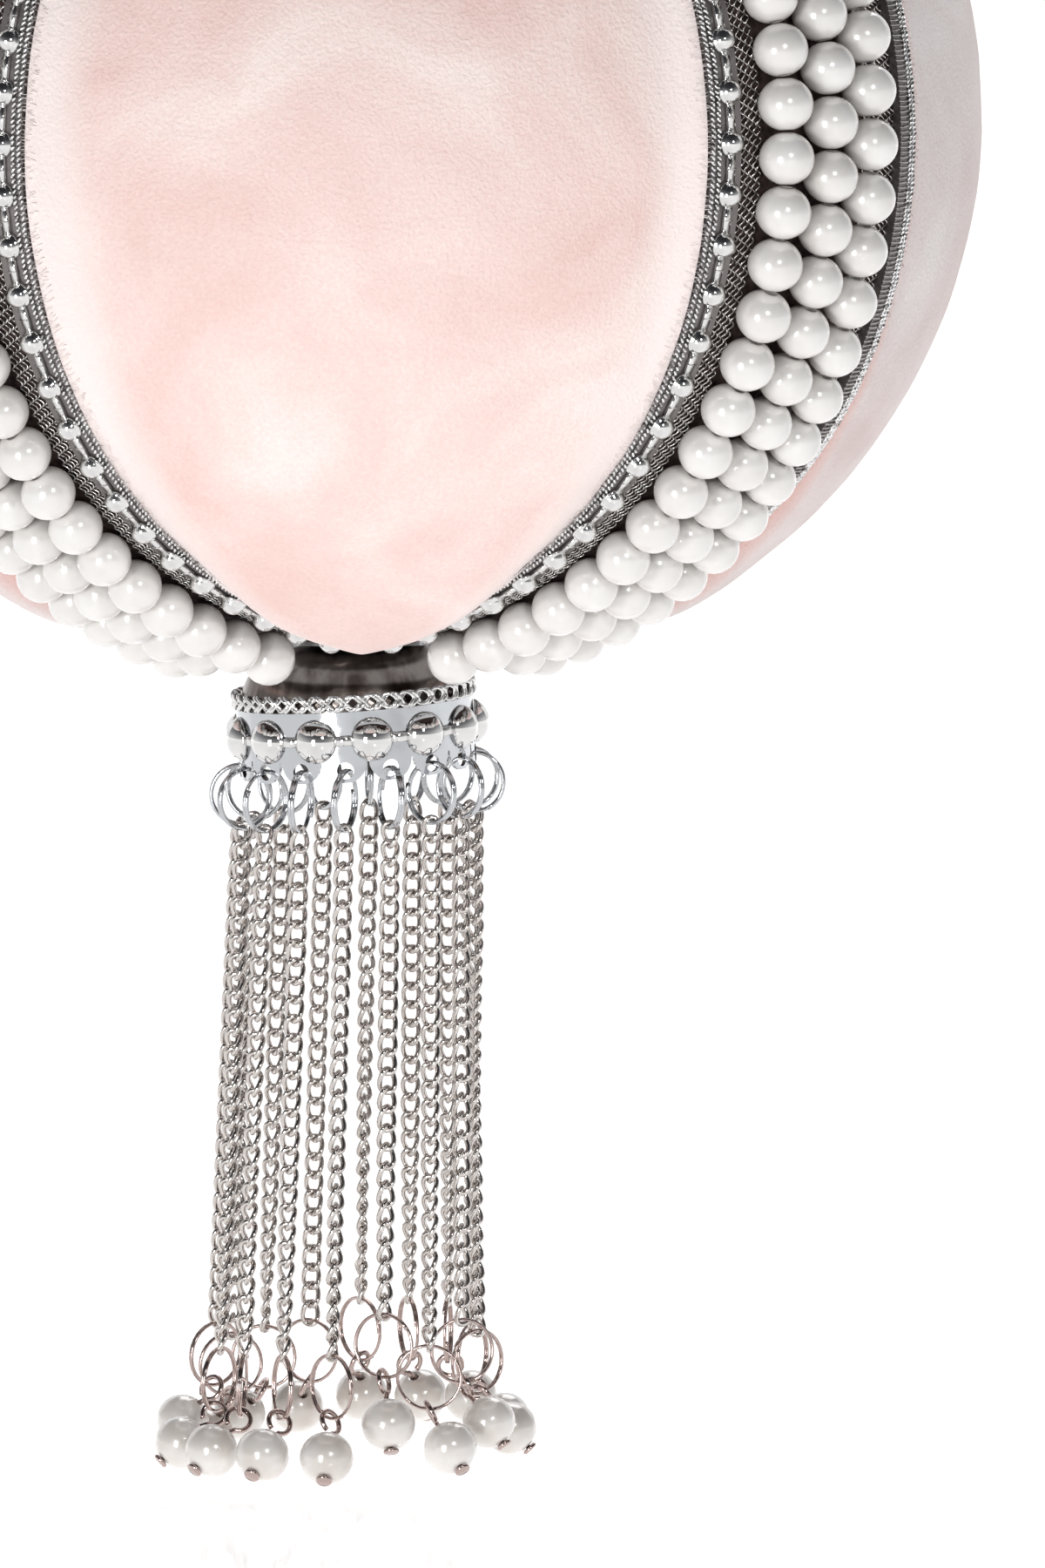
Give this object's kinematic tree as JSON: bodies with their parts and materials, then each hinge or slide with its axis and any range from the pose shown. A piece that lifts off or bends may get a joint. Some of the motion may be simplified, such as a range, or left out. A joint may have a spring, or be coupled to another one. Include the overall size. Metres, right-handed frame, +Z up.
{
  "type": "ring bearer pillow",
  "caption": "Ball-shaped stuffed velvet ring bearer pillow with pearl bands, metal bell cap, chain tassel with pearl drops and a hanging ring.",
  "frame": {"origin": "where the hanging ring's inner top bears on what carries it; the ball's centre is 89.4 mm below", "axes": "+Z up along the ball's axis, -Y to the front gore, +X to the right gore"},
  "size_m": [0.1384, 0.1384, 0.2439],
  "materials": {
    "velvet": "crushed silk-look velvet, blush",
    "wadding": "polyester wadding",
    "foam": "moulded light foam",
    "silver_mesh": "woven silver mesh on dark backing",
    "silver_braid": "silver lurex braid",
    "pearl": "satin pearl lacquer",
    "silver_plate": "bright silver plate",
    "zinc_steel": "zinc plated"
  },
  "bodies": {
    "root": {"foam_core": "foam", "tie_rod": "zinc_steel", "rod_nut": "zinc_steel", "top_plate": "silver_plate", "bottom_plate": "silver_plate", "velvet_gore_front": "velvet", "velvet_gore_right": "velvet", "velvet_gore_back": "velvet", "velvet_gore_left": "velvet", "wadding_pads": "wadding", "mesh_ribbon_front_right": "silver_mesh", "mesh_ribbon_back_right": "silver_mesh", "mesh_ribbon_back_left": "silver_mesh", "mesh_ribbon_front_left": "silver_mesh", "lurex_braids": "silver_braid", "gimp_braids": "silver_braid", "pearl_band_front_right": "pearl", "pearl_band_back_right": "pearl", "pearl_band_back_left": "pearl", "pearl_band_front_left": "pearl", "half_ball_chains": "silver_plate", "bell_cap": "silver_plate", "twisted_wire_ring": "silver_plate", "stud_strip": "silver_plate", "scalloped_band": "silver_plate", "top_eye": "silver_plate"},
    "hanging_ring": {"hanging_ring": "silver_plate"},
    "strand_01": {"chain_01": "silver_plate"},
    "drop_01": {"pearl_drop_01": "pearl"},
    "strand_02": {"chain_02": "silver_plate"},
    "drop_02": {"pearl_drop_02": "pearl"},
    "strand_03": {"chain_03": "silver_plate"},
    "drop_03": {"pearl_drop_03": "pearl"},
    "strand_04": {"chain_04": "silver_plate"},
    "drop_04": {"pearl_drop_04": "pearl"},
    "strand_05": {"chain_05": "silver_plate"},
    "drop_05": {"pearl_drop_05": "pearl"},
    "strand_06": {"chain_06": "silver_plate"},
    "drop_06": {"pearl_drop_06": "pearl"},
    "strand_07": {"chain_07": "silver_plate"},
    "drop_07": {"pearl_drop_07": "pearl"},
    "strand_08": {"chain_08": "silver_plate"},
    "drop_08": {"pearl_drop_08": "pearl"},
    "strand_09": {"chain_09": "silver_plate"},
    "drop_09": {"pearl_drop_09": "pearl"},
    "strand_10": {"chain_10": "silver_plate"},
    "drop_10": {"pearl_drop_10": "pearl"},
    "strand_11": {"chain_11": "silver_plate"},
    "drop_11": {"pearl_drop_11": "pearl"},
    "strand_12": {"chain_12": "silver_plate"},
    "drop_12": {"pearl_drop_12": "pearl"},
    "strand_13": {"chain_13": "silver_plate"},
    "drop_13": {"pearl_drop_13": "pearl"},
    "strand_14": {"chain_14": "silver_plate"},
    "drop_14": {"pearl_drop_14": "pearl"},
    "strand_15": {"chain_15": "silver_plate"},
    "drop_15": {"pearl_drop_15": "pearl"},
    "strand_16": {"chain_16": "silver_plate"},
    "drop_16": {"pearl_drop_16": "pearl"}
  },
  "joints": [
    {"name": "ring_swing", "type": "hinge", "parent": "root", "child": "hanging_ring", "pos_m": [0, 0, -0.0228], "axis": [0, 1, 0], "range_deg": [-85, 85]},
    {"name": "strand_01_swing", "type": "hinge", "parent": "root", "child": "strand_01", "pos_m": [-0.00161, -0.01288, -0.16097], "axis": [-0.9923, 0.1219, 0.0208], "range_deg": [-1, 40]},
    {"name": "drop_01_swing", "type": "hinge", "parent": "strand_01", "child": "drop_01", "pos_m": [-0.00334, -0.01475, -0.2329], "axis": [-0.9923, 0.1219, 0.0208], "range_deg": [-15, 30]},
    {"name": "strand_02_swing", "type": "hinge", "parent": "root", "child": "strand_02", "pos_m": [0.00343, -0.0125, -0.16065], "axis": [-0.9634, -0.2672, 0.0202], "range_deg": [-1, 40]},
    {"name": "drop_02_swing", "type": "hinge", "parent": "strand_02", "child": "drop_02", "pos_m": [0.00249, -0.01421, -0.22839], "axis": [-0.9634, -0.2672, 0.0202], "range_deg": [-15, 30]},
    {"name": "strand_03_swing", "type": "hinge", "parent": "root", "child": "strand_03", "pos_m": [0.00794, -0.01022, -0.16036], "axis": [-0.7878, -0.6157, 0.0165], "range_deg": [-1, 40]},
    {"name": "drop_03_swing", "type": "hinge", "parent": "strand_03", "child": "drop_03", "pos_m": [0.0076, -0.01171, -0.23231], "axis": [-0.7878, -0.6157, 0.0165], "range_deg": [-15, 30]},
    {"name": "strand_04_swing", "type": "hinge", "parent": "root", "child": "strand_04", "pos_m": [0.01124, -0.00639, -0.16014], "axis": [-0.4923, -0.8704, 0.0103], "range_deg": [-1, 40]},
    {"name": "drop_04_swing", "type": "hinge", "parent": "strand_04", "child": "drop_04", "pos_m": [0.01137, -0.00729, -0.23001], "axis": [-0.4923, -0.8704, 0.0103], "range_deg": [-15, 30]},
    {"name": "strand_05_swing", "type": "hinge", "parent": "root", "child": "strand_05", "pos_m": [0.01282, -0.00158, -0.16004], "axis": [-0.1218, -0.9925, 0.0026], "range_deg": [-1, 40]},
    {"name": "drop_05_swing", "type": "hinge", "parent": "strand_05", "child": "drop_05", "pos_m": [0.01319, -0.00181, -0.23201], "axis": [-0.1218, -0.9925, 0.0026], "range_deg": [-15, 30]},
    {"name": "strand_06_swing", "type": "hinge", "parent": "root", "child": "strand_06", "pos_m": [0.01245, 0.00347, -0.16007], "axis": [0.2672, -0.9636, -0.0056], "range_deg": [-1, 40]},
    {"name": "drop_06_swing", "type": "hinge", "parent": "strand_06", "child": "drop_06", "pos_m": [0.01276, 0.00397, -0.23204], "axis": [0.2672, -0.9636, -0.0056], "range_deg": [-15, 30]},
    {"name": "strand_07_swing", "type": "hinge", "parent": "root", "child": "strand_07", "pos_m": [0.01017, 0.00799, -0.16021], "axis": [0.6155, -0.788, -0.0129], "range_deg": [-1, 40]},
    {"name": "drop_07_swing", "type": "hinge", "parent": "strand_07", "child": "drop_07", "pos_m": [0.01015, 0.00911, -0.23008], "axis": [0.6155, -0.788, -0.0129], "range_deg": [-15, 30]},
    {"name": "strand_08_swing", "type": "hinge", "parent": "root", "child": "strand_08", "pos_m": [0.00635, 0.01129, -0.16046], "axis": [0.8702, -0.4924, -0.0182], "range_deg": [-1, 40]},
    {"name": "drop_08_swing", "type": "hinge", "parent": "strand_08", "child": "drop_08", "pos_m": [0.00579, 0.01289, -0.23031], "axis": [0.8702, -0.4924, -0.0182], "range_deg": [-15, 30]},
    {"name": "strand_09_swing", "type": "hinge", "parent": "root", "child": "strand_09", "pos_m": [0.00155, 0.01288, -0.16077], "axis": [0.9923, -0.1219, -0.0208], "range_deg": [-1, 40]},
    {"name": "drop_09_swing", "type": "hinge", "parent": "strand_09", "child": "drop_09", "pos_m": [0.00031, 0.01469, -0.23061], "axis": [0.9923, -0.1219, -0.0208], "range_deg": [-15, 30]},
    {"name": "strand_10_swing", "type": "hinge", "parent": "root", "child": "strand_10", "pos_m": [-0.00349, 0.0125, -0.1611], "axis": [0.9634, 0.2672, -0.0202], "range_deg": [-1, 40]},
    {"name": "drop_10_swing", "type": "hinge", "parent": "strand_10", "child": "drop_10", "pos_m": [-0.0055, 0.01432, -0.23302], "axis": [0.9634, 0.2672, -0.0202], "range_deg": [-15, 30]},
    {"name": "strand_11_swing", "type": "hinge", "parent": "root", "child": "strand_11", "pos_m": [-0.008, 0.01022, -0.16139], "axis": [0.7878, 0.6157, -0.0165], "range_deg": [-1, 40]},
    {"name": "drop_11_swing", "type": "hinge", "parent": "strand_11", "child": "drop_11", "pos_m": [-0.01067, 0.01171, -0.2333], "axis": [0.7878, 0.6157, -0.0165], "range_deg": [-15, 30]},
    {"name": "strand_12_swing", "type": "hinge", "parent": "root", "child": "strand_12", "pos_m": [-0.0113, 0.00639, -0.1616], "axis": [0.4923, 0.8704, -0.0103], "range_deg": [-1, 40]},
    {"name": "drop_12_swing", "type": "hinge", "parent": "strand_12", "child": "drop_12", "pos_m": [-0.01444, 0.00732, -0.2335], "axis": [0.4923, 0.8704, -0.0103], "range_deg": [-15, 30]},
    {"name": "strand_13_swing", "type": "hinge", "parent": "root", "child": "strand_13", "pos_m": [-0.01288, 0.00158, -0.1617], "axis": [0.1218, 0.9925, -0.0026], "range_deg": [-1, 40]},
    {"name": "drop_13_swing", "type": "hinge", "parent": "strand_13", "child": "drop_13", "pos_m": [-0.01616, 0.0018, -0.2315], "axis": [0.1218, 0.9925, -0.0026], "range_deg": [-15, 30]},
    {"name": "strand_14_swing", "type": "hinge", "parent": "root", "child": "strand_14", "pos_m": [-0.01251, -0.00347, -0.16168], "axis": [-0.2672, 0.9636, 0.0056], "range_deg": [-1, 40]},
    {"name": "drop_14_swing", "type": "hinge", "parent": "strand_14", "child": "drop_14", "pos_m": [-0.01583, -0.00397, -0.23358], "axis": [-0.2672, 0.9636, 0.0056], "range_deg": [-15, 30]},
    {"name": "strand_15_swing", "type": "hinge", "parent": "root", "child": "strand_15", "pos_m": [-0.01023, -0.00799, -0.16153], "axis": [-0.6155, 0.788, 0.0129], "range_deg": [-1, 40]},
    {"name": "drop_15_swing", "type": "hinge", "parent": "strand_15", "child": "drop_15", "pos_m": [-0.01322, -0.00915, -0.23344], "axis": [-0.6155, 0.788, 0.0129], "range_deg": [-15, 30]},
    {"name": "strand_16_swing", "type": "hinge", "parent": "root", "child": "strand_16", "pos_m": [-0.00641, -0.01129, -0.16128], "axis": [-0.8702, 0.4924, 0.0182], "range_deg": [-1, 40]},
    {"name": "drop_16_swing", "type": "hinge", "parent": "strand_16", "child": "drop_16", "pos_m": [-0.00884, -0.01293, -0.2332], "axis": [-0.8702, 0.4924, 0.0182], "range_deg": [-15, 30]}
  ]
}
